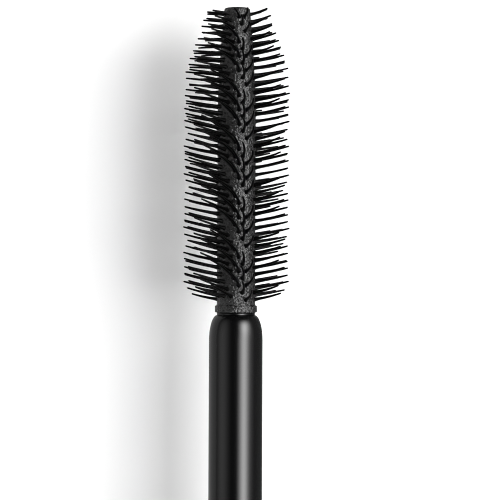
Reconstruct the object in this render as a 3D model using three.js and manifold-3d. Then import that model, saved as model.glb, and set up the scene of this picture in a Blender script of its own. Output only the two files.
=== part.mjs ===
// A mascara, opened: the bottle with its wiper, and the wand drawn straight out of it.
// Both lie on their sides on one axis. Unscrewed, the wand slides along that axis and can turn
// about it; screwed home, its cap closes over the bottle's neck.
// Millimetres, +Z up. +X runs along the axis from the cap, past the brush, to the foot of the bottle.

import * as THREE from "three";
import { mergeVertices } from "three/addons/utils/BufferGeometryUtils.js";
import Module from "manifold-3d";

const wasm = await Module();
wasm.setup();

// ---------------------------------------------------------------- driving dimensions

const BODY_RADIUS = 8.6; // outside of the bottle and the cap
const BOTTLE_LENGTH = 74; // shoulder plane to foot
const NECK_LENGTH = 12;
const NECK_RADIUS = 6;
const CAP_LENGTH = 46;
const STEM_RADIUS = 2.46;
const STEM_REACH = 42.12; // cap mouth to the stem's end
const BRUSH_LENGTH = 27.35; // flange to tip
const BRUSH_RADIUS = 4.82; // over the bristles
const SKIN_RADIUS = 1.75; // between the bristles
const OPEN_GAP = 8; // brush tip to the wiper's rim when drawn out
const MOUTH_GAP = 0.2; // cap mouth to shoulder ring when closed

const WALL = 1.1; // outer sleeve and cap shell
const CAP_END_WALL = 2 * WALL;
const FIT_GAP = 0.1; // between pieces pressed or glued together
const EDGE_ROUND = 0.6;

const THREAD_LEAD = 3.2;
const THREAD_STARTS = 2;
const THREAD_TURNS = 1.25; // length of each ridge
const THREAD_RIDGE = 0.42; // radius of a ridge's round section

const ROUND_SIDES = 24;
const ARC_STEPS = 3;

// ---------------------------------------------------------------- derived dimensions

const INNER_RADIUS = BODY_RADIUS - WALL - FIT_GAP; // vial, liner, weight and plug

const RING_THICKNESS = 0.9;
const BASE_THICKNESS = 1.5;
const VIAL_WALL = 1.2;
const VIAL_BORE = 6;
const VIAL_END = BOTTLE_LENGTH - BASE_THICKNESS - FIT_GAP;
const NECK_BORE = 4.6;
const NECK_THREAD_X = -10.6;

const WIPER_RIM = 0.7; // thickness of its rim on the neck
const WIPER_BORE = 3.7;
const WIPER_LIP_RADIUS = 2.6; // a running gap to the stem, which the real lip presses on
const RIM_HEIGHT = NECK_LENGTH + FIT_GAP + WIPER_RIM; // shoulder plane to the wiper's rim

const LINER_BORE = 6.6;
const LINER_CEILING = RIM_HEIGHT + 1.3; // from the cap's mouth
const LINER_FLOOR = 2;
const BOSS_DEPTH = 28; // from the cap's mouth to the boss's end
const BOSS_RADIUS = 4.2;
const WEIGHT_LENGTH = 8;

const FLANGE_RADIUS = 1.93;
const FLANGE_THICKNESS = 0.58;
const FLANGE_STANDOFF = 0.25; // dark groove between the stem's end and the flange
const SHANK_RADIUS = 1.08;
const SHANK_LENGTH = 5.8;
const PIN_RADIUS = 1.2;
const PIN_TIP_RADIUS = 0.72;
const PIN_SHORT_OF_TIP = 1;

const FLANGE_TOP = STEM_REACH + FLANGE_STANDOFF + FLANGE_THICKNESS;
const WAND_REACH = FLANGE_TOP + BRUSH_LENGTH; // cap mouth to brush tip
const WAND_OUT = WAND_REACH + OPEN_GAP + RIM_HEIGHT; // cap mouth to shoulder plane, drawn out

const OVERALL_LENGTH = CAP_LENGTH + WAND_OUT + BOTTLE_LENGTH;
const SHOULDER_X = OVERALL_LENGTH / 2 - BOTTLE_LENGTH;
const CAP_MOUTH_X = SHOULDER_X - WAND_OUT;
const AXIS_HEIGHT = BODY_RADIUS * Math.cos(Math.PI / ROUND_SIDES); // lies on a flat side

// The bristles stand in rows along the skin. Each row lies one step nearer the stem than the one
// before it, so that they wind in helices, and each row leaves a wider gap after every third one.
const BRISTLE_ROWS = 30;
const BARE_ROWS = [3, 4]; // left out of each half round, where the mould parts
const FIRST_ROW_ANGLE = THREE.MathUtils.degToRad(8); // from +Z towards -Y
const BRISTLE_PERIOD = 4.9;
const BRISTLE_STEP = BRISTLE_PERIOD / 7.5; // from a row to the next
const BRISTLES_PER_PERIOD = 3; // two steps apart
const FIRST_BRISTLE = 3.22; // from the tip, in the first row
const FIRST_ROOT = 0.5; // from the tip, in any row
const LAST_ROOT = BRUSH_LENGTH - 0.25;
const BRISTLE_RAKE = THREE.MathUtils.degToRad(14); // leans towards the tip
const BRISTLE_SWIRL = THREE.MathUtils.degToRad(20); // leans round the axis, on top towards +Y
const BRISTLE_ROOT_RADIUS = 0.16;
const BRISTLE_SINK = 0.12; // starts this far under the skin
const BRISTLE_SIDES = 3;
const TIP_ZONE = 6.6; // where the brush narrows to its tip
const TIP_RADIUS = 2.75;
const HEEL_ZONE = 1.3; // where it narrows a little to the flange
const HEEL_RADIUS = 4.4;

// ---------------------------------------------------------------- materials

const plastic = (color, roughness) => new THREE.MeshStandardMaterial({ color, roughness, metalness: 0 });
const metal = (color, roughness) => new THREE.MeshStandardMaterial({ color, roughness, metalness: 1 });

const glossBlack = plastic(0x0b0b0c, 0.2);
const vialPlastic = plastic(0x202023, 0.2);
const linerPlastic = plastic(0x17171a, 0.5);
const corePlastic = plastic(0x2b2b2d, 0.6);
const elastomer = plastic(0x121213, 0.5);
const wiperPlastic = plastic(0xd9d8d2, 0.5);
const foam = plastic(0xe8e6e0, 0.9);
const satinMetal = metal(0xb9babd, 0.3);
const steel = metal(0x8f9194, 0.4);

// ---------------------------------------------------------------- shapes

// Turns an outline round the X axis. Its x is the distance along the axis and its y the radius.
function turned(outline, sides = ROUND_SIDES) {
  const points = outline.getPoints(ARC_STEPS).map((p) => new THREE.Vector2(p.y, p.x));
  return new THREE.LatheGeometry(points, sides, Math.PI / sides).rotateZ(-Math.PI / 2);
}

// An outline through [x, radius] corners.
function outlineOf(corners) {
  return new THREE.Path(corners.map(([x, radius]) => new THREE.Vector2(x, radius)));
}

// The same, closed on itself.
function ringOutline(...corners) {
  return outlineOf([...corners, corners[0]]);
}

function solidOf(geometry) {
  const loose = geometry.index ? geometry.toNonIndexed() : geometry;
  const bare = new THREE.BufferGeometry().setAttribute("position", loose.getAttribute("position"));
  const merged = mergeVertices(bare, 1e-4);
  const mesh = new wasm.Mesh({
    numProp: 3,
    vertProperties: merged.getAttribute("position").array,
    triVerts: new Uint32Array(merged.index.array),
  });
  return new wasm.Manifold(mesh);
}

function geometryOf(solid) {
  const { numProp, numVert, vertProperties, triVerts } = solid.getMesh();
  const positions = new Float32Array(numVert * 3);
  for (let i = 0; i < numVert; i++) {
    positions.set(vertProperties.subarray(i * numProp, i * numProp + 3), i * 3);
  }
  return new THREE.BufferGeometry()
    .setAttribute("position", new THREE.BufferAttribute(positions, 3))
    .setIndex(new THREE.BufferAttribute(triVerts, 1));
}

function joined(geometry, solids) {
  return geometryOf(wasm.Manifold.union([solidOf(geometry), ...solids]));
}

class Helix extends THREE.Curve {
  constructor(radius, firstX, firstAngle) {
    super();
    Object.assign(this, { radius, firstX, firstAngle });
  }

  getPoint(t, target = new THREE.Vector3()) {
    const turns = THREAD_TURNS * t;
    const angle = this.firstAngle + 2 * Math.PI * turns;
    return target.set(
      this.firstX + THREAD_LEAD * turns,
      this.radius * Math.cos(angle),
      this.radius * Math.sin(angle),
    );
  }
}

// The ridges of a two-start right-hand thread, half sunk in a wall of the given radius.
function threadRidges(radius, firstX) {
  const section = new THREE.Shape().absarc(0, 0, THREAD_RIDGE, 0, 2 * Math.PI);
  return Array.from({ length: THREAD_STARTS }, (_, start) => {
    const extrudePath = new Helix(radius, firstX, (2 * Math.PI * start) / THREAD_STARTS);
    const options = { steps: 24, curveSegments: 6, bevelEnabled: false, extrudePath };
    return solidOf(new THREE.ExtrudeGeometry(section, options));
  });
}

function piece(name, geometry, material) {
  const mesh = new THREE.Mesh(geometry, material);
  mesh.name = name;
  return mesh;
}

// ---------------------------------------------------------------- bottle, from its shoulder plane

// The moulded container: threaded neck, shoulder and a straight body with a closed end.
function vial() {
  const shoulder = RING_THICKNESS + FIT_GAP;
  const funnelStart = 2.6;
  const funnelEnd = 4;
  const outline = outlineOf([
    [VIAL_END - VIAL_WALL, 0],
    [VIAL_END - VIAL_WALL, VIAL_BORE],
    [funnelEnd, VIAL_BORE],
    [funnelStart, NECK_BORE],
    [-NECK_LENGTH, NECK_BORE],
    [-NECK_LENGTH, NECK_RADIUS],
    [shoulder, NECK_RADIUS],
    [shoulder, INNER_RADIUS],
    [VIAL_END, INNER_RADIUS],
    [VIAL_END, 0],
  ]);
  return joined(turned(outline), threadRidges(NECK_RADIUS, NECK_THREAD_X));
}

// The glossy outer sleeve, glued over the vial.
function outerSleeve() {
  const top = RING_THICKNESS + FIT_GAP;
  const bore = BODY_RADIUS - WALL;
  const outline = new THREE.Path()
    .moveTo(top, bore)
    .lineTo(top, BODY_RADIUS)
    .lineTo(BOTTLE_LENGTH - EDGE_ROUND, BODY_RADIUS)
    .absarc(BOTTLE_LENGTH - EDGE_ROUND, BODY_RADIUS - EDGE_ROUND, EDGE_ROUND, Math.PI / 2, 0, true)
    .lineTo(BOTTLE_LENGTH, bore)
    .lineTo(top, bore);
  return turned(outline);
}

// Closes the sleeve's foot.
function basePlug() {
  const inner = BOTTLE_LENGTH - BASE_THICKNESS;
  return turned(outlineOf([
    [inner, 0],
    [inner, INNER_RADIUS],
    [BOTTLE_LENGTH, INNER_RADIUS],
    [BOTTLE_LENGTH, 0],
  ]));
}

// The trim ring on the shoulder, which the cap closes against.
function shoulderRing() {
  const bevel = 0.2;
  const bore = NECK_RADIUS + FIT_GAP;
  return turned(ringOutline(
    [0, bore],
    [0, BODY_RADIUS - bevel],
    [bevel, BODY_RADIUS],
    [RING_THICKNESS, BODY_RADIUS],
    [RING_THICKNESS, bore],
  ));
}

// Plugs the neck: a rim on top, a barrel, and a cone down to the lip that wipes the stem.
function wiper() {
  const rimRadius = NECK_RADIUS - 0.3;
  const barrelRadius = NECK_BORE - FIT_GAP;
  const barrelEnd = -1.5;
  const lipEnd = 4;
  const lipThickness = 0.35;
  return turned(ringOutline(
    [-RIM_HEIGHT, WIPER_BORE],
    [-RIM_HEIGHT, rimRadius],
    [-NECK_LENGTH - FIT_GAP, rimRadius],
    [-NECK_LENGTH - FIT_GAP, barrelRadius],
    [barrelEnd, barrelRadius],
    [lipEnd, WIPER_LIP_RADIUS + lipThickness],
    [lipEnd, WIPER_LIP_RADIUS],
    [barrelEnd, WIPER_BORE],
  ));
}

// ---------------------------------------------------------------- wand, from the cap's mouth

// The outer cap, which is also the handle.
function capShell() {
  const bore = BODY_RADIUS - WALL;
  const outline = new THREE.Path()
    .moveTo(-CAP_LENGTH, 0)
    .lineTo(-CAP_LENGTH, BODY_RADIUS - EDGE_ROUND)
    .absarc(-CAP_LENGTH + EDGE_ROUND, BODY_RADIUS - EDGE_ROUND, EDGE_ROUND, Math.PI, Math.PI / 2, true)
    .lineTo(0, BODY_RADIUS)
    .lineTo(0, bore)
    .lineTo(-CAP_LENGTH + CAP_END_WALL, bore)
    .lineTo(-CAP_LENGTH + CAP_END_WALL, 0);
  return turned(outline);
}

// A steel slug in the cap's blind end, which gives the cap its heft.
function capWeight() {
  const end = -CAP_LENGTH + CAP_END_WALL + FIT_GAP;
  return turned(outlineOf([
    [end, 0],
    [end, INNER_RADIUS],
    [end + WEIGHT_LENGTH, INNER_RADIUS],
    [end + WEIGHT_LENGTH, 0],
  ]));
}

// The threaded lining that is pressed into the cap, with the boss that grips the stem.
function capLiner() {
  const mouth = -0.8;
  const stemBore = STEM_RADIUS + FIT_GAP;
  const outline = ringOutline(
    [mouth, LINER_BORE],
    [-LINER_CEILING, LINER_BORE],
    [-LINER_CEILING, stemBore],
    [-BOSS_DEPTH, stemBore],
    [-BOSS_DEPTH, BOSS_RADIUS],
    [-LINER_CEILING - LINER_FLOOR, BOSS_RADIUS],
    [-LINER_CEILING - LINER_FLOOR, INNER_RADIUS],
    [mouth, INNER_RADIUS],
  );
  // Closed, each ridge lies midway between two ridges of the neck.
  const firstX = NECK_THREAD_X + MOUTH_GAP + THREAD_LEAD / THREAD_STARTS / 2;
  return joined(turned(outline), threadRidges(LINER_BORE, firstX));
}

// The soft washer under the liner's ceiling, loose round the stem, which seals on the wiper.
function sealWasher() {
  const bore = 3.45;
  const radius = 5.9;
  return turned(ringOutline(
    [-LINER_CEILING + FIT_GAP, bore],
    [-LINER_CEILING + FIT_GAP, radius],
    [-RIM_HEIGHT + FIT_GAP, radius],
    [-RIM_HEIGHT + FIT_GAP, bore],
  ));
}

// The rod: a snap end behind the boss, a collar under it, and a rounded shoulder at the brush.
function stem() {
  const snap = -BOSS_DEPTH - FIT_GAP;
  const snapLength = 1.1;
  const snapRadius = STEM_RADIUS + 0.3;
  const snapTipRadius = 2.1;
  const collar = -LINER_CEILING + FIT_GAP;
  const collarThickness = 0.8;
  const collarRadius = 3.2;
  const shoulderLength = 2.3;
  const endRadius = 1.72;
  const socketDepth = SHANK_LENGTH + 0.2;
  const socketRadius = SHANK_RADIUS + 0.06;
  const outline = outlineOf([
    [snap - snapLength, 0],
    [snap - snapLength, snapTipRadius],
    [snap, snapRadius],
    [snap, STEM_RADIUS],
    [collar, STEM_RADIUS],
    [collar, collarRadius],
    [collar + collarThickness, collarRadius],
    [collar + collarThickness, STEM_RADIUS],
    [STEM_REACH - shoulderLength, STEM_RADIUS],
  ]);
  const shoulderRise = STEM_RADIUS - endRadius;
  outline
    .absellipse(STEM_REACH - shoulderLength, endRadius, shoulderLength, shoulderRise, Math.PI / 2, 0, true)
    .lineTo(STEM_REACH, socketRadius)
    .lineTo(STEM_REACH - socketDepth, socketRadius)
    .lineTo(STEM_REACH - socketDepth, 0);
  return turned(outline);
}

// The stiff heart of the brush: a shank in the stem's socket, a flange, and a tapered pin.
function brushCore() {
  const grooveRadius = 1.6;
  const grooveStart = STEM_REACH + 0.05;
  const flangeFoot = STEM_REACH + FLANGE_STANDOFF;
  const pinEnd = WAND_REACH - PIN_SHORT_OF_TIP;
  const outline = outlineOf([
    [STEM_REACH - SHANK_LENGTH, 0],
    [STEM_REACH - SHANK_LENGTH, SHANK_RADIUS],
    [grooveStart, SHANK_RADIUS],
    [grooveStart, grooveRadius],
    [flangeFoot, grooveRadius],
    [flangeFoot, FLANGE_RADIUS],
    [FLANGE_TOP, FLANGE_RADIUS],
    [FLANGE_TOP, PIN_RADIUS],
    [WAND_REACH - TIP_ZONE, PIN_RADIUS],
    [pinEnd, PIN_TIP_RADIUS],
    [pinEnd, 0],
  ]);
  return turned(outline, BRISTLE_ROWS);
}

// Radius of the skin, which narrows towards the tip.
function skinRadius(fromTip) {
  const taperLength = 9.5;
  const endRadius = 1.17;
  const left = Math.max(0, 1 - fromTip / taperLength);
  return SKIN_RADIUS - (SKIN_RADIUS - endRadius) * left ** 1.5;
}

// Radius over the bristle ends, for a bristle that is rooted at this distance from the tip.
function bristleReach(fromTip) {
  const share = Math.min(1, (fromTip - FIRST_ROOT) / (TIP_ZONE - FIRST_ROOT));
  const towardsTip = TIP_RADIUS + (BRUSH_RADIUS - TIP_RADIUS) * share ** 0.85;
  const heel = Math.max(0, 1 - (LAST_ROOT - fromTip) / HEEL_ZONE);
  return Math.min(towardsTip, BRUSH_RADIUS - (BRUSH_RADIUS - HEEL_RADIUS) * heel);
}

// Every bristle's root, as its row's angle and its distance from the tip.
function bristleRoots() {
  const roots = [];
  const periods = Math.ceil(BRUSH_LENGTH / BRISTLE_PERIOD) + 1;
  for (let row = 0; row < BRISTLE_ROWS; row++) {
    if (BARE_ROWS.includes(row % (BRISTLE_ROWS / 2))) {
      continue;
    }
    const angle = FIRST_ROW_ANGLE + (2 * Math.PI * row) / BRISTLE_ROWS;
    const shift = (FIRST_BRISTLE + row * BRISTLE_STEP) % BRISTLE_PERIOD;
    for (let period = -1; period < periods; period++) {
      for (let place = 0; place < BRISTLES_PER_PERIOD; place++) {
        const fromTip = shift + period * BRISTLE_PERIOD + 2 * place * BRISTLE_STEP;
        if (fromTip >= FIRST_ROOT && fromTip <= LAST_ROOT) {
          roots.push({ angle, fromTip });
        }
      }
    }
  }
  return roots;
}

// A unit vector square to the axis. Angles run from +Z towards -Y.
function spoke(angle) {
  return new THREE.Vector3(0, -Math.sin(angle), Math.cos(angle));
}

function bristle({ angle, fromTip }) {
  const heading = angle - BRISTLE_SWIRL;
  const rootRadius = skinRadius(fromTip) - BRISTLE_SINK;
  const rise = bristleReach(fromTip) - rootRadius * Math.cos(BRISTLE_SWIRL);
  const length = rise / Math.cos(BRISTLE_RAKE);
  const direction = spoke(heading).multiplyScalar(Math.cos(BRISTLE_RAKE));
  direction.x = Math.sin(BRISTLE_RAKE);
  const root = spoke(angle).multiplyScalar(rootRadius);
  root.x = WAND_REACH - fromTip - BRISTLE_SINK * Math.tan(BRISTLE_RAKE);
  const turn = new THREE.Quaternion().setFromUnitVectors(new THREE.Vector3(0, 1, 0), direction);
  const cone = new THREE.ConeGeometry(BRISTLE_ROOT_RADIUS, length, BRISTLE_SIDES)
    .translate(0, length / 2, 0)
    .applyQuaternion(turn)
    .translate(root.x, root.y, root.z);
  return solidOf(cone);
}

// The soft skin over the pin, moulded in one with its bristles.
function brushBristles() {
  const pinGap = 0.05;
  const boreEnd = WAND_REACH - PIN_SHORT_OF_TIP + pinGap;
  const foot = FLANGE_TOP + pinGap;
  const taperPoints = [9.5, 6, 3, 0.15]; // from the tip
  const tipRound = 0.15;
  const outline = outlineOf([
    [boreEnd, 0],
    [boreEnd, PIN_TIP_RADIUS + pinGap],
    [WAND_REACH - TIP_ZONE, PIN_RADIUS + pinGap],
    [foot, PIN_RADIUS + pinGap],
    [foot, SKIN_RADIUS],
    ...taperPoints.map((fromTip) => [WAND_REACH - fromTip, skinRadius(fromTip)]),
    [WAND_REACH, skinRadius(0) - tipRound],
    [WAND_REACH, 0],
  ]);
  return joined(turned(outline, BRISTLE_ROWS), bristleRoots().map(bristle));
}

// ---------------------------------------------------------------- assembly

const bottle = new THREE.Group();
bottle.position.x = SHOULDER_X;
bottle.add(
  piece("vial", vial(), vialPlastic),
  piece("outer_sleeve", outerSleeve(), glossBlack),
  piece("base_plug", basePlug(), linerPlastic),
  piece("shoulder_ring", shoulderRing(), satinMetal),
  piece("wiper", wiper(), wiperPlastic),
);

const wand = new THREE.Group();
wand.position.x = CAP_MOUTH_X;
wand.add(
  piece("cap_shell", capShell(), glossBlack),
  piece("cap_weight", capWeight(), steel),
  piece("cap_liner", capLiner(), linerPlastic),
  piece("seal_washer", sealWasher(), foam),
  piece("stem", stem(), glossBlack),
  piece("brush_core", brushCore(), corePlastic),
  piece("brush_bristles", brushBristles(), elastomer),
);

const mascara = new THREE.Group();
mascara.position.z = AXIS_HEIGHT;
mascara.add(bottle, wand);

export default mascara;
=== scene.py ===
"""Looks of an opened mascara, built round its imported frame.

The wand lies drawn out of its bottle, both on their sides along +X on a white surface. The camera
hangs straight over the brush. Places along the axis come from the frame. Sizes are in millimetres
until mesh_piece, make_camera and lamp turn them into metres.
"""
import math
import random

import bmesh
import bpy
from mathutils import Matrix, Vector


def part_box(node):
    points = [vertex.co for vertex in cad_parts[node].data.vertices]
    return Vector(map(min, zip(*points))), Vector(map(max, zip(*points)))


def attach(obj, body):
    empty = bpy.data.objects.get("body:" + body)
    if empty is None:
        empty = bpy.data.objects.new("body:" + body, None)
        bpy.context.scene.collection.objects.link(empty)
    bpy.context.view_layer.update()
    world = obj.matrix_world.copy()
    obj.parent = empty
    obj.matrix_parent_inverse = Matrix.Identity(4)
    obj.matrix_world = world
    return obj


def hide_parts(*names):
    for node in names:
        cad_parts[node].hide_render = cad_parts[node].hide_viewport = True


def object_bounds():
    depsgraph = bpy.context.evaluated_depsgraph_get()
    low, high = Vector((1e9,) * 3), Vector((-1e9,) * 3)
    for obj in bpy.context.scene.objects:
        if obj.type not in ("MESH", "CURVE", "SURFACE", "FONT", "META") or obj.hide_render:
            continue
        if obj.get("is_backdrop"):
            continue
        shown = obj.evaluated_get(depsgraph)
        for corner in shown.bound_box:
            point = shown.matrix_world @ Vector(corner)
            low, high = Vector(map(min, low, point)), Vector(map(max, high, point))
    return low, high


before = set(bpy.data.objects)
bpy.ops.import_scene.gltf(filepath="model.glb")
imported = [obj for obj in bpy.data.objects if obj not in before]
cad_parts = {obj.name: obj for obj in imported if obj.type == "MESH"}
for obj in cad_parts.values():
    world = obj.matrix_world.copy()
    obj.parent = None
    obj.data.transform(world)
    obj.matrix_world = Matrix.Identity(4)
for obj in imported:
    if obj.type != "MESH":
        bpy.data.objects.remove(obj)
CAD_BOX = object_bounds()

MM = 0.001


def span(node):
    """First and last place of a CAD node along the axis."""
    low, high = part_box(node)
    return low.x / MM, high.x / MM


# ------------------------------------------------------------------ sizes

AXIS_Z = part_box("cap_shell")[1].z / MM / 2  # the round bodies lie on the surface
BODY_RADIUS = AXIS_Z
WALL = 1.1
BORE_RADIUS = BODY_RADIUS - WALL  # inside the cap and the sleeve
LINING_RADIUS = BORE_RADIUS - 0.05  # of the pieces that fill them
EDGE = 0.22  # fillet of a moulded edge

CAP_END, CAP_MOUTH = span("cap_shell")
SLEEVE_TOP, FOOT = span("outer_sleeve")
RING_TOP, RING_END = span("shoulder_ring")
NECK_TOP, VIAL_END = span("vial")
WIPER_RIM, WIPER_LIP = span("wiper")
LINER_BACK, LINER_MOUTH = span("cap_liner")
WASHER_BACK, WASHER_FRONT = span("seal_washer")
STEM_BACK, STEM_END = span("stem")
BRUSH_FOOT, TIP = span("brush_bristles")
PLUG_FACE = span("base_plug")[0]

NECK_RADIUS = 6.0
NECK_BORE = 4.6
THREAD_STARTS = 2
THREAD_LEAD = 3.2
THREAD_TURNS = 1.25
THREAD_RIDGE = 0.42
THREAD_SET_BACK = 10.6  # from the shoulder ring, or the cap's mouth, to the thread's far end
MOUTH_GAP = 0.2  # between the cap's mouth and the ring when closed

STEM_RADIUS = 2.46
STEM_SHOULDER = 2.3  # length of the rounding
STEM_FACE_RADIUS = 1.72
FLANGE_RADIUS = 1.93
FLANGE_FOOT = STEM_END + 0.25
GROOVE_RADIUS = 1.74
SKIN_RADIUS = 1.75
SKIN_TIP_RADIUS = 1.17
SKIN_TAPER = 9.5  # length over which the skin narrows to its tip

BRISTLE_ROWS = 30
BARE_ROWS = (3, 4)  # left out of each half round, where the mould parts
FIRST_ROW = math.radians(8)  # from straight up towards -Y
BRISTLE_SWIRL = math.radians(20)  # every bristle leans this far round the axis, towards +Y on top
BRISTLE_PERIOD = 4.9  # length after which a row's pattern repeats
BRISTLE_STEP = BRISTLE_PERIOD / 7.5  # from a row to the next
BRISTLES_PER_PERIOD = 3
FIRST_BRISTLE = 3.22  # from the tip, in the first row
FIRST_ROOT = 0.5
LAST_ROOT = TIP - BRUSH_FOOT - 0.25
BRISTLE_SINK = 0.12  # depth of a root in the skin
BRISTLE_RINGS = [(0.0, 0.25), (0.04, 0.21), (0.08, 0.178), (0.14, 0.152), (0.24, 0.132), (0.4, 0.118),
                 (0.6, 0.105), (0.8, 0.091), (0.97, 0.077), (0.99, 0.05)]  # share of the length, radius
BRUSH_RADIUS = 4.82
BRUSH_TIP_RADIUS = 2.75
TIP_ZONE = 6.6  # length over which the brush narrows to its tip
HEEL_ZONE = 1.3  # and to its foot
HEEL_RADIUS = 4.4

ROUND_SIDES = 160


# ------------------------------------------------------------------ meshes

def mesh_piece(name, vertices, faces, material):
    """A smooth mesh object from points in mm."""
    mesh = bpy.data.meshes.new(name)
    mesh.from_pydata([Vector(v) * MM for v in vertices], [], faces)
    mesh.materials.append(material)
    bm = bmesh.new()
    bm.from_mesh(mesh)
    bmesh.ops.recalc_face_normals(bm, faces=bm.faces)
    bm.to_mesh(mesh)
    bm.free()
    mesh.shade_smooth()
    piece = bpy.data.objects.new(name, mesh)
    bpy.context.collection.objects.link(piece)
    return piece


def round_point(x, radius, angle):
    """A point round the common axis. Angles run from straight up towards -Y."""
    return (x, -radius * math.sin(angle), AXIS_Z + radius * math.cos(angle))


def filleted(corners, radius, closed=False, steps=6):
    """The same [x, radius] outline with its corners rounded."""
    points = [Vector(corner) for corner in corners]
    count = len(points)
    result = []
    for i, corner in enumerate(points):
        if not closed and i in (0, count - 1):
            result.append(corner)
            continue
        before, after = points[i - 1] - corner, points[(i + 1) % count] - corner
        half = before.angle(after) / 2
        if half > math.radians(88):
            result.append(corner)
            continue
        reach = min(radius / math.tan(half), before.length * 0.45, after.length * 0.45)
        start, end = corner + before.normalized() * reach, corner + after.normalized() * reach
        for step in range(steps + 1):
            t = step / steps
            result.append(start * (1 - t) ** 2 + corner * 2 * t * (1 - t) + end * t ** 2)
    return result


def with_support(points, closed=False, margin=0.15):
    """Adds points near the ends of long stretches, so that their shading stays straight."""
    result = []
    pairs = list(zip(points, points[1:] + points[:1])) if closed else list(zip(points, points[1:]))
    for start, end in pairs:
        result.append(start)
        length = (end - start).length
        if length > 3 * margin:
            result.append(start.lerp(end, margin / length))
            result.append(start.lerp(end, 1 - margin / length))
    if not closed:
        result.append(points[-1])
    return result


def turned(name, outline, material, closed=False, sides=ROUND_SIDES):
    """Turns [x, radius] points round the axis: from axis to axis, or closed on themselves."""
    vertices, rings, faces = [], [], []
    for x, radius in outline:
        if radius < 1e-6:
            rings.append([len(vertices)] * sides)
            vertices.append(round_point(x, 0, 0))
            continue
        rings.append(range(len(vertices), len(vertices) + sides))
        vertices += [round_point(x, radius, 2 * math.pi * i / sides) for i in range(sides)]
    ring_pairs = list(zip(rings, rings[1:]))
    if closed:
        ring_pairs.append((rings[-1], rings[0]))
    for first, second in ring_pairs:
        for i in range(sides):
            j = (i + 1) % sides
            corners = list(dict.fromkeys([first[i], first[j], second[j], second[i]]))
            faces.append(corners)
    return mesh_piece(name, vertices, faces, material)


def turned_ring(name, corners, material, radius=EDGE):
    """A ring from its filleted section."""
    outline = with_support(filleted(corners, radius, closed=True), closed=True)
    return turned(name, outline, material, closed=True)


def turned_solid(name, corners, material, radius=EDGE):
    """A solid of revolution from its filleted outline, which starts and ends on the axis."""
    return turned(name, with_support(filleted(corners, radius)), material)


def thread_ridge(name, radius, first_x, start_angle, material):
    """One ridge of a right-hand thread that fades out at both ends."""
    steps, section_sides, fade = 120, 12, 0.12
    vertices, faces = [], []
    for step in range(steps + 1):
        t = step / steps
        swell = min(1, t / fade, (1 - t) / fade)
        swell = max(0.05, math.sin(swell * math.pi / 2))
        turns = THREAD_TURNS * t
        angle = start_angle - 2 * math.pi * turns
        for side in range(section_sides):
            around = 2 * math.pi * side / section_sides
            x = first_x + THREAD_LEAD * turns + THREAD_RIDGE * swell * math.cos(around)
            vertices.append(round_point(x, radius + THREAD_RIDGE * swell * math.sin(around), angle))
    for step in range(steps):
        for side in range(section_sides):
            a = step * section_sides + side
            b = step * section_sides + (side + 1) % section_sides
            faces.append([a, b, b + section_sides, a + section_sides])
    faces.append(list(range(section_sides)))
    faces.append([steps * section_sides + side for side in range(section_sides)])
    return mesh_piece(name, vertices, faces, material)


def thread(name, radius, first_x, material):
    """The ridges of a thread with several starts."""
    ridges = []
    for start in range(THREAD_STARTS):
        start_angle = 2 * math.pi * start / THREAD_STARTS - math.pi / 2
        ridges.append(thread_ridge(name, radius, first_x, start_angle, material))
    return ridges


# ------------------------------------------------------------------ materials

def new_material(name, colour, roughness, **sockets):
    """A material with its uniform values on the shader's own sockets."""
    material = bpy.data.materials.new(name)
    material.use_nodes = True
    shader = material.node_tree.nodes["Principled BSDF"]
    shader.inputs["Base Color"].default_value = (*colour, 1)
    shader.inputs["Roughness"].default_value = roughness
    for socket, value in sockets.items():
        shader.inputs[socket.replace("_", " ")].default_value = value
    return material


def noise(material, scale_mm, detail=2.0, stretch=(1, 1, 1)):
    """A noise texture whose features are about scale_mm long."""
    nodes, links = material.node_tree.nodes, material.node_tree.links
    place = nodes.new("ShaderNodeTexCoord")
    mapping = nodes.new("ShaderNodeMapping")
    mapping.inputs["Scale"].default_value = stretch
    texture = nodes.new("ShaderNodeTexNoise")
    texture.inputs["Scale"].default_value = 1 / (scale_mm * MM)
    texture.inputs["Detail"].default_value = detail
    links.new(place.outputs["Object"], mapping.inputs["Vector"])
    links.new(mapping.outputs["Vector"], texture.inputs["Vector"])
    return texture


def add_bump(material, texture, depth_mm, strength=1.0):
    """Raises the surface by a texture, on top of any bump it has."""
    nodes, links = material.node_tree.nodes, material.node_tree.links
    shader = nodes["Principled BSDF"]
    bump = nodes.new("ShaderNodeBump")
    bump.inputs["Distance"].default_value = depth_mm * MM
    bump.inputs["Strength"].default_value = strength
    links.new(texture.outputs["Fac"], bump.inputs["Height"])
    if shader.inputs["Normal"].is_linked:
        links.new(shader.inputs["Normal"].links[0].from_socket, bump.inputs["Normal"])
    links.new(bump.outputs["Normal"], shader.inputs["Normal"])


def vary(material, texture, socket, low, high):
    """Lets a texture move a shader value or a grey between two limits."""
    nodes, links = material.node_tree.nodes, material.node_tree.links
    ramp = nodes.new("ShaderNodeMapRange")
    ramp.inputs["From Min"].default_value = 0.3
    ramp.inputs["From Max"].default_value = 0.7
    ramp.inputs["To Min"].default_value = low
    ramp.inputs["To Max"].default_value = high
    links.new(texture.outputs["Fac"], ramp.inputs["Value"])
    links.new(ramp.outputs["Result"], nodes["Principled BSDF"].inputs[socket])


def gloss_black():
    material = new_material("gloss_black", (0.004, 0.004, 0.0045), 0.16)
    vary(material, noise(material, 9), "Roughness", 0.13, 0.19)
    add_bump(material, noise(material, 3), 0.002)
    return material


def stem_black():
    material = new_material("stem_black", (0.002, 0.002, 0.0022), 0.2)
    vary(material, noise(material, 4, stretch=(0.15, 1, 1)), "Roughness", 0.18, 0.22)
    add_bump(material, noise(material, 1.2, stretch=(0.2, 1, 1)), 0.0006)
    return material


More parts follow.
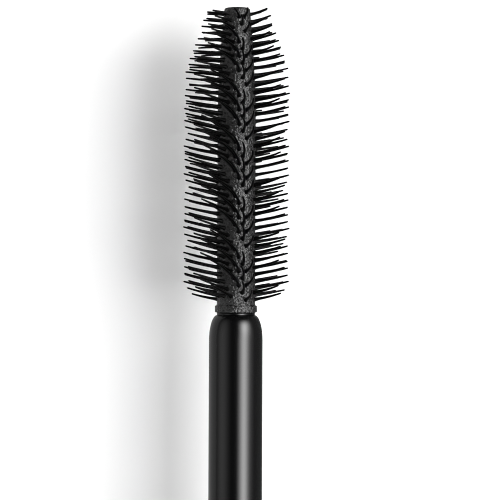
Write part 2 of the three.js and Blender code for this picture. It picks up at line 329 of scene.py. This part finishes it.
def brush_grain():
    material = new_material("brush_grain", (0.018, 0.018, 0.018), 0.3, Specular_IOR_Level=0.46)
    vary(material, noise(material, 0.2), "Base Color", 0.002, 0.03)
    vary(material, noise(material, 0.5), "Roughness", 0.16, 0.28)
    add_bump(material, noise(material, 0.2, detail=1), 0.15)
    return material


def bristle_black():
    material = new_material("bristle_black", (0.001, 0.001, 0.001), 0.4, Specular_IOR_Level=0.08)
    vary(material, noise(material, 0.5), "Roughness", 0.33, 0.43)
    add_bump(material, noise(material, 0.15), 0.003)
    return material


def liner_plastic():
    material = new_material("liner_plastic", (0.012, 0.012, 0.013), 0.4)
    vary(material, noise(material, 2), "Roughness", 0.36, 0.46)
    add_bump(material, noise(material, 0.3, detail=4), 0.004)
    return material


def vial_plastic():
    material = new_material("vial_plastic", (0.02, 0.02, 0.022), 0.18)
    vary(material, noise(material, 3), "Roughness", 0.15, 0.22)
    add_bump(material, noise(material, 1.5), 0.002)
    return material


def wiper_plastic():
    material = new_material("wiper_plastic", (0.7, 0.69, 0.65), 0.4, Subsurface_Weight=0.3)
    material.node_tree.nodes["Principled BSDF"].inputs["Subsurface Radius"].default_value = (MM,) * 3
    vary(material, noise(material, 1), "Roughness", 0.36, 0.46)
    add_bump(material, noise(material, 0.6), 0.004)
    return material


def foam():
    material = new_material("foam", (0.78, 0.77, 0.73), 0.9)
    vary(material, noise(material, 0.4), "Roughness", 0.8, 0.95)
    add_bump(material, noise(material, 0.15, detail=4), 0.06)
    return material


def satin_metal():
    material = new_material("satin_metal", (0.72, 0.73, 0.75), 0.25, Metallic=1.0)
    vary(material, noise(material, 0.08, stretch=(1, 0.05, 0.05)), "Roughness", 0.2, 0.34)
    add_bump(material, noise(material, 0.06, stretch=(1, 0.05, 0.05)), 0.001)
    return material


def weight_steel():
    material = new_material("weight_steel", (0.5, 0.51, 0.52), 0.35, Metallic=1.0)
    vary(material, noise(material, 0.1), "Roughness", 0.3, 0.45)
    return material


MAKERS = (gloss_black, stem_black, brush_grain, bristle_black, liner_plastic, vial_plastic,
          wiper_plastic, foam, satin_metal, weight_steel)
FINISH = {maker.__name__: maker() for maker in MAKERS}


def settle(piece, body, slot, *nodes):
    """The piece rides on its body and stands for the CAD nodes. The slot is not used."""
    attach(piece, body)
    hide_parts(*nodes)
    return piece


def join(pieces):
    """One object from several."""
    bpy.ops.object.select_all(action="DESELECT")
    for piece in pieces:
        piece.select_set(True)
    bpy.context.view_layer.objects.active = pieces[0]
    bpy.ops.object.join()
    return pieces[0]


# ------------------------------------------------------------------ brush

def skin_radius(from_tip):
    """Radius of the skin, which narrows towards the tip."""
    left = max(0, 1 - from_tip / SKIN_TAPER)
    return SKIN_RADIUS - (SKIN_RADIUS - SKIN_TIP_RADIUS) * left ** 1.5


def make_skin():
    """The grained skin between the bristles, rounded over at the tip."""
    tip_round, flare = 0.3, 0.12
    length = TIP - BRUSH_FOOT
    outline = [Vector((TIP, 0))]
    for step in range(9):
        turn = math.pi / 2 * step / 8
        radius = skin_radius(0) - tip_round * (1 - math.sin(turn))
        outline.append(Vector((TIP - 0.55 * tip_round * (1 - math.cos(turn)), radius)))
    steps = 90
    for step in range(1, steps):
        from_tip = length * step / steps
        outline.append(Vector((TIP - from_tip, skin_radius(from_tip))))
    outline.append(Vector((BRUSH_FOOT + flare, SKIN_RADIUS)))
    outline.append(Vector((BRUSH_FOOT, SKIN_RADIUS + 0.5 * flare)))
    outline.append(Vector((BRUSH_FOOT, 0)))
    piece = turned("brush_skin", outline, FINISH["brush_grain"])
    return settle(piece, "wand", "brush_grain", "brush_bristles")


def bristle_reach(from_tip):
    """Radius over the bristle ends for a bristle rooted at this distance from the tip."""
    share = min(1, (from_tip - FIRST_ROOT) / (TIP_ZONE - FIRST_ROOT))
    towards_tip = BRUSH_TIP_RADIUS + (BRUSH_RADIUS - BRUSH_TIP_RADIUS) * share ** 0.85
    heel = max(0, 1 - (LAST_ROOT - from_tip) / HEEL_ZONE)
    return min(towards_tip, BRUSH_RADIUS - (BRUSH_RADIUS - HEEL_RADIUS) * heel)


def bristle_roots():
    """Every bristle's row angle and distance from the tip."""
    periods = math.ceil((TIP - BRUSH_FOOT) / BRISTLE_PERIOD) + 1
    for row in range(BRISTLE_ROWS):
        if row % (BRISTLE_ROWS // 2) in BARE_ROWS:
            continue
        angle = FIRST_ROW + 2 * math.pi * row / BRISTLE_ROWS
        shift = (FIRST_BRISTLE + row * BRISTLE_STEP) % BRISTLE_PERIOD
        for period in range(-1, periods):
            for place in range(BRISTLES_PER_PERIOD):
                from_tip = shift + period * BRISTLE_PERIOD + 2 * place * BRISTLE_STEP
                if FIRST_ROOT <= from_tip <= LAST_ROOT:
                    yield angle, from_tip


def bristle_rake(heading, from_tip):
    """Lean towards the tip: most on top, least underneath, and lopsided near the tip."""
    mean, on_top, below, dip, lopsided, settled = 12.0, 9.0, 5.0, 18.0, 8.0, 11.0
    tip_share = max(0, 1 - from_tip / settled)
    top_share = max(0, math.cos(heading + math.radians(15))) ** 4
    low_share = max(0, -math.cos(heading))
    sideways = (lopsided * tip_share - 0.5) * math.sin(heading)
    less = below * low_share + dip * tip_share * (1 - tip_share)
    return math.radians(mean + on_top * top_share - less + sideways)


def bristle_course(angle, from_tip, chance):
    """A bristle's middle line, as a function of the share of its length, and its two side directions."""
    curve, curl = 0.32, 0.6
    heading = angle - BRISTLE_SWIRL + math.radians(chance.gauss(0, 0.7))
    rake = bristle_rake(heading, from_tip) + math.radians(chance.gauss(0, 0.7))
    rooted = Vector((0, -math.sin(angle), math.cos(angle)))
    outward = Vector((0, -math.sin(heading), math.cos(heading)))
    sideways = Vector((0, math.cos(heading), math.sin(heading)))
    forward = Vector((1, 0, 0))
    direction = outward * math.cos(rake) + forward * math.sin(rake)
    bend = forward * math.sin(rake) * curve + (outward - rooted) * curl
    start_radius = skin_radius(from_tip) - BRISTLE_SINK
    rise = bristle_reach(from_tip) - start_radius * math.cos(BRISTLE_SWIRL)
    length = rise / math.cos(rake) * chance.uniform(0.975, 1.015)
    root = Vector((TIP - from_tip, 0, AXIS_Z)) + rooted * start_radius

    def middle(share):
        return root + (direction * share - bend * share * (1 - share)) * length

    across = direction.cross(sideways)
    return middle, across, direction.cross(across)


def add_bristle(vertices, faces, angle, from_tip, chance):
    """One round tapering bristle with a flared root and a domed end, curved towards the tip."""
    sides = 10
    middle, across, other = bristle_course(angle, from_tip, chance)
    first = len(vertices)
    for share, radius in BRISTLE_RINGS:
        for side in range(sides):
            turn = 2 * math.pi * side / sides
            vertices.append(middle(share) + (across * math.cos(turn) + other * math.sin(turn)) * radius)
    vertices.append(middle(1))
    for ring in range(len(BRISTLE_RINGS) - 1):
        for side in range(sides):
            a = first + ring * sides + side
            b = first + ring * sides + (side + 1) % sides
            faces.append([a, b, b + sides, a + sides])
    last = first + (len(BRISTLE_RINGS) - 1) * sides
    for side in range(sides):
        faces.append([last + side, last + (side + 1) % sides, len(vertices) - 1])
    faces.append([first + side for side in range(sides)])


def make_bristles():
    """All bristles as one piece, each a little different."""
    chance = random.Random(7)
    vertices, faces = [], []
    for angle, from_tip in bristle_roots():
        add_bristle(vertices, faces, angle, from_tip, chance)
    piece = mesh_piece("bristles", vertices, faces, FINISH["bristle_black"])
    return settle(piece, "wand", "bristle_black", "brush_bristles")


def make_flange():
    """The grained flange under the skin."""
    corners = [(BRUSH_FOOT, 0), (BRUSH_FOOT, FLANGE_RADIUS), (FLANGE_FOOT, FLANGE_RADIUS), (FLANGE_FOOT, 0)]
    piece = turned_solid("brush_flange", corners, FINISH["brush_grain"], 0.1)
    return settle(piece, "wand", "brush_grain", "brush_core")


# ------------------------------------------------------------------ wand

def make_stem():
    """The glossy rod, with its rounded shoulder and the dark groove under the brush."""
    shoulder = [Vector((STEM_BACK, 0)), Vector((STEM_BACK, STEM_RADIUS))]
    stretch_end = STEM_END - STEM_SHOULDER
    length = stretch_end - STEM_BACK
    shoulder += [Vector((STEM_BACK + length * i / 40, STEM_RADIUS)) for i in range(1, 40)]
    for step in range(25):
        turn = math.pi / 2 * (1 - step / 24)
        x = stretch_end + STEM_SHOULDER * math.cos(turn)
        rise = (STEM_RADIUS - STEM_FACE_RADIUS) * math.sin(turn)
        shoulder.append(Vector((x, STEM_FACE_RADIUS + rise)))
    groove = [(STEM_END, GROOVE_RADIUS), (FLANGE_FOOT, GROOVE_RADIUS), (FLANGE_FOOT, 0)]
    shoulder += [Vector(corner) for corner in groove]
    piece = turned("stem_rod", shoulder, FINISH["stem_black"])
    return settle(piece, "wand", "stem_black", "stem")


def make_cap():
    """The outer cap, with an end wall of double thickness."""
    inner_end = CAP_END + 2 * WALL
    corners = [(CAP_END, 0), (CAP_END, BODY_RADIUS), (CAP_MOUTH, BODY_RADIUS),
               (CAP_MOUTH, BORE_RADIUS), (inner_end, BORE_RADIUS), (inner_end, 0)]
    piece = turned_solid("cap", corners, FINISH["gloss_black"], 0.5)
    return settle(piece, "wand", "gloss_black", "cap_shell")


def make_liner():
    """The threaded lining inside the cap, with the boss that grips the stem."""
    bore, stem_bore, boss = 6.6, STEM_RADIUS + 0.1, 4.2
    ceiling, back = WASHER_BACK - 0.1, WASHER_BACK - 0.1 - 2
    corners = [(LINER_MOUTH, bore), (ceiling, bore), (ceiling, stem_bore), (LINER_BACK, stem_bore),
               (LINER_BACK, boss), (back, boss), (back, LINING_RADIUS), (LINER_MOUTH, LINING_RADIUS)]
    body = turned_ring("cap_lining", corners, FINISH["liner_plastic"])
    first_x = CAP_MOUTH - THREAD_SET_BACK + MOUTH_GAP + THREAD_LEAD / 4
    ridges = thread("liner_ridge", bore, first_x, FINISH["liner_plastic"])
    return settle(join([body, *ridges]), "wand", "liner_plastic", "cap_liner")


def make_washer():
    """The foam washer that seals the neck."""
    bore, outer = 3.45, 5.9
    corners = [(WASHER_BACK, bore), (WASHER_BACK, outer), (WASHER_FRONT, outer), (WASHER_FRONT, bore)]
    piece = turned_ring("foam_washer", corners, FINISH["foam"], 0.15)
    return settle(piece, "neck_seal", "foam", "seal_washer")


# ------------------------------------------------------------------ bottle

def make_sleeve():
    """The glossy sleeve over the vial."""
    corners = [(SLEEVE_TOP, BORE_RADIUS), (SLEEVE_TOP, BODY_RADIUS), (FOOT, BODY_RADIUS), (FOOT, BORE_RADIUS)]
    piece = turned_ring("sleeve", corners, FINISH["gloss_black"], 0.4)
    return settle(piece, "bottle", "gloss_black", "outer_sleeve")


def make_plug():
    """The sleeve's foot, dished so that it stands on its rim."""
    rim, bevel, dish = 1, 0.4, 0.35
    corners = [(PLUG_FACE, 0), (PLUG_FACE, LINING_RADIUS), (FOOT, LINING_RADIUS), (FOOT, LINING_RADIUS - rim),
               (FOOT - dish, LINING_RADIUS - rim - bevel), (FOOT - dish, 0)]
    piece = turned_solid("foot_plug", corners, FINISH["liner_plastic"])
    return settle(piece, "bottle", "liner_plastic", "base_plug")


def make_ring():
    """The metal ring between cap and sleeve."""
    bore = NECK_RADIUS + 0.1
    corners = [(RING_TOP, bore), (RING_TOP, BODY_RADIUS), (RING_END, BODY_RADIUS), (RING_END, bore)]
    piece = turned_ring("trim_ring", corners, FINISH["satin_metal"], 0.18)
    return settle(piece, "bottle", "satin_metal", "shoulder_ring")


def make_vial():
    """The inner bottle with its threaded neck."""
    bore, floor = 6, VIAL_END - 1.2
    corners = [(floor, 0), (floor, bore), (RING_TOP + 4, bore), (RING_TOP + 2.6, NECK_BORE),
               (NECK_TOP, NECK_BORE), (NECK_TOP, NECK_RADIUS), (SLEEVE_TOP, NECK_RADIUS),
               (SLEEVE_TOP, LINING_RADIUS), (VIAL_END, LINING_RADIUS), (VIAL_END, 0)]
    body = turned_solid("bottle_vial", corners, FINISH["vial_plastic"])
    ridges = thread("neck_ridge", NECK_RADIUS, RING_TOP - THREAD_SET_BACK, FINISH["vial_plastic"])
    return settle(join([body, *ridges]), "bottle", "vial_plastic", "vial")


def make_wiper():
    """The plug in the neck, narrowing to the lip that wipes the stem."""
    barrel_end = RING_TOP - 1.5
    corners = [(WIPER_RIM, 3.7), (WIPER_RIM, 5.7), (NECK_TOP - 0.1, 5.7), (NECK_TOP - 0.1, 4.5),
               (barrel_end, 4.5), (WIPER_LIP, 2.95), (WIPER_LIP, 2.6), (barrel_end, 3.7)]
    piece = turned_ring("neck_wiper", corners, FINISH["wiper_plastic"], 0.25)
    return settle(piece, "bottle", "wiper_plastic", "wiper")


def finish_hidden_nodes():
    """The steel weight keeps its CAD shape and gets its own finish."""
    for material_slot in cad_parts["cap_weight"].material_slots:
        material_slot.material = FINISH["weight_steel"]


# ------------------------------------------------------------------ stage

VIEW_WIDTH = 45.87
CAMERA_HEIGHT = 200.0  # over the axis
VIEW_BELOW_TIP = 22.2  # the view's middle lies this far from the tip towards the stem
VIEW_ASIDE = 1.27  # and this far towards -Y
VIEW_ROLL = math.radians(0.25)


def make_floor():
    """A white surface. Glossy rays see it dimmer: not its lit surface but a painted reflection, a glow that
    rises from 0.14 on the -Y side to 0.5 on the +Y side.
    """
    side = 4000
    half = side / 2
    vertices = [(-half, -half, 0), (half, -half, 0), (half, half, 0), (-half, half, 0)]
    material = new_material("white_surface_and_painted_reflection", (0.9, 0.9, 0.9), 0.7, Specular_IOR_Level=0.0)
    nodes, links = material.node_tree.nodes, material.node_tree.links
    place = nodes.new("ShaderNodeNewGeometry")
    split = nodes.new("ShaderNodeSeparateXYZ")
    # strength of the painted reflection: 0.14 on the -Y side, 0.5 on the +Y side
    grade = nodes.new("ShaderNodeMapRange")
    grade.inputs["From Min"].default_value = -0.01
    grade.inputs["From Max"].default_value = 0.01
    grade.inputs["To Min"].default_value = 0.14
    grade.inputs["To Max"].default_value = 0.5
    # the painted reflection: an emission, though the floor is no lamp
    painted_reflection_glow = nodes.new("ShaderNodeEmission")
    path = nodes.new("ShaderNodeLightPath")
    mix = nodes.new("ShaderNodeMixShader")
    links.new(place.outputs["Position"], split.inputs["Vector"])
    links.new(split.outputs["Y"], grade.inputs["Value"])
    links.new(grade.outputs["Result"], painted_reflection_glow.inputs["Strength"])
    # glossy rays get the painted reflection in place of the lit surface
    links.new(path.outputs["Is Glossy Ray"], mix.inputs["Fac"])
    links.new(nodes["Principled BSDF"].outputs["BSDF"], mix.inputs[1])
    links.new(painted_reflection_glow.outputs["Emission"], mix.inputs[2])
    links.new(mix.outputs["Shader"], nodes["Material Output"].inputs["Surface"])
    floor = mesh_piece("floor", vertices, [[0, 1, 2, 3]], material)
    floor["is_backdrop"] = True


def make_camera():
    """Straight over the brush, with the brush's tip up in the picture."""
    camera = bpy.data.cameras.new("camera")
    camera.sensor_width = 36
    camera.lens = camera.sensor_width * CAMERA_HEIGHT / VIEW_WIDTH
    camera.clip_start = 0.01
    holder = bpy.data.objects.new("camera", camera)
    holder.location = Vector((TIP - VIEW_BELOW_TIP, -VIEW_ASIDE, AXIS_Z + CAMERA_HEIGHT)) * MM
    holder.rotation_euler = (0, 0, -math.pi / 2 + VIEW_ROLL)
    bpy.context.collection.objects.link(holder)
    bpy.context.scene.camera = holder


def fade_to_rim(light):
    """Makes a lamp fade like a bell curve from its middle to its rim."""
    rim_share = 12.5  # the exponent at an edge's middle is a quarter of this
    light.use_nodes = True
    nodes, links = light.node_tree.nodes, light.node_tree.links
    place = nodes.new("ShaderNodeNewGeometry")
    from_middle = nodes.new("ShaderNodeVectorMath")
    from_middle.operation = "SUBTRACT"
    from_middle.inputs[1].default_value = (0.5, 0.5, 0)
    squared = nodes.new("ShaderNodeVectorMath")
    squared.operation = "DOT_PRODUCT"
    scaled = nodes.new("ShaderNodeMath")
    scaled.operation = "MULTIPLY"
    scaled.inputs[1].default_value = -rim_share
    bell = nodes.new("ShaderNodeMath")
    bell.operation = "EXPONENT"
    links.new(place.outputs["Parametric"], from_middle.inputs[0])
    links.new(from_middle.outputs["Vector"], squared.inputs[0])
    links.new(from_middle.outputs["Vector"], squared.inputs[1])
    links.new(squared.outputs["Value"], scaled.inputs[0])
    links.new(scaled.outputs["Value"], bell.inputs[0])
    links.new(bell.outputs["Value"], nodes["Emission"].inputs["Strength"])


def lamp(name, aside, towards_tip, width, length, radiance, fades=True, diffuse=True, glossy=True):
    """A soft lamp aimed at the brush. Angles in degrees; aside and width run towards -Y."""
    distance = 600
    light = bpy.data.lights.new(name, "AREA")
    light.shape = "RECTANGLE"
    light.size = 2 * distance * math.tan(math.radians(length / 2)) * MM
    light.size_y = 2 * distance * math.tan(math.radians(width / 2)) * MM
    light.energy = radiance * math.pi * light.size * light.size_y
    if fades:
        fade_to_rim(light)
    aside, towards_tip = math.radians(aside), math.radians(towards_tip)
    direction = Vector((math.tan(towards_tip), -math.sin(aside), math.cos(aside))).normalized()
    along = (Vector((1, 0, 0)) - direction * direction.x).normalized()
    holder = bpy.data.objects.new(name, light)
    place = Matrix((along, direction.cross(along), direction)).transposed().to_4x4()
    place.translation = (Vector((TIP - 20, 0, AXIS_Z)) + direction * distance) * MM
    holder.matrix_world = place
    holder.visible_diffuse = diffuse
    holder.visible_glossy = glossy
    bpy.context.collection.objects.link(holder)


def make_world():
    """A bright room with a dark ceiling patch overhead, where the camera hangs."""
    world = bpy.data.worlds.new("room")
    world.use_nodes = True
    nodes, links = world.node_tree.nodes, world.node_tree.links
    direction = nodes.new("ShaderNodeTexCoord")
    split = nodes.new("ShaderNodeSeparateXYZ")
    grade = nodes.new("ShaderNodeMapRange")
    grade.inputs["From Min"].default_value = math.cos(math.radians(15))
    grade.inputs["From Max"].default_value = math.cos(math.radians(38))
    grade.inputs["To Min"].default_value = 0.1
    grade.inputs["To Max"].default_value = 0.86
    links.new(direction.outputs["Generated"], split.inputs["Vector"])
    links.new(split.outputs["Z"], grade.inputs["Value"])
    links.new(grade.outputs["Result"], nodes["Background"].inputs["Strength"])
    nodes["Background"].inputs["Color"].default_value = (1, 1, 1, 1)
    world.cycles_visibility.glossy = False
    bpy.context.scene.world = world


def make_light():
    """The key casts the shadows. The others only make glints, each one's place tuned to the stem."""
    lamp("key", 42.5, 4, 38, 34, 9.4, fades=False, glossy=False)
    lamp("key_glint", 36.5, -12, 58, 90, 10, diffuse=False)
    lamp("tip_glint", 43, 22, 60, 50, 10, diffuse=False)
    lamp("glint_tail", 68, 10, 50, 90, 0.8, diffuse=False)
    lamp("left_panel", -58, 0, 80, 110, 0.8, diffuse=False)
    make_world()
    bpy.context.scene.view_settings.view_transform = "Standard"
    bpy.context.scene.cycles.filter_width = 1.0  # a crisp lens


finish_hidden_nodes()
make_skin()
make_bristles()
make_flange()
make_stem()
make_cap()
make_liner()
make_washer()
make_sleeve()
make_plug()
make_ring()
make_vial()
make_wiper()
make_floor()
make_camera()
make_light()

boxes = {"cad": CAD_BOX, "visual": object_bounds()}
{name: [list(corner) for corner in box] for name, box in boxes.items()}
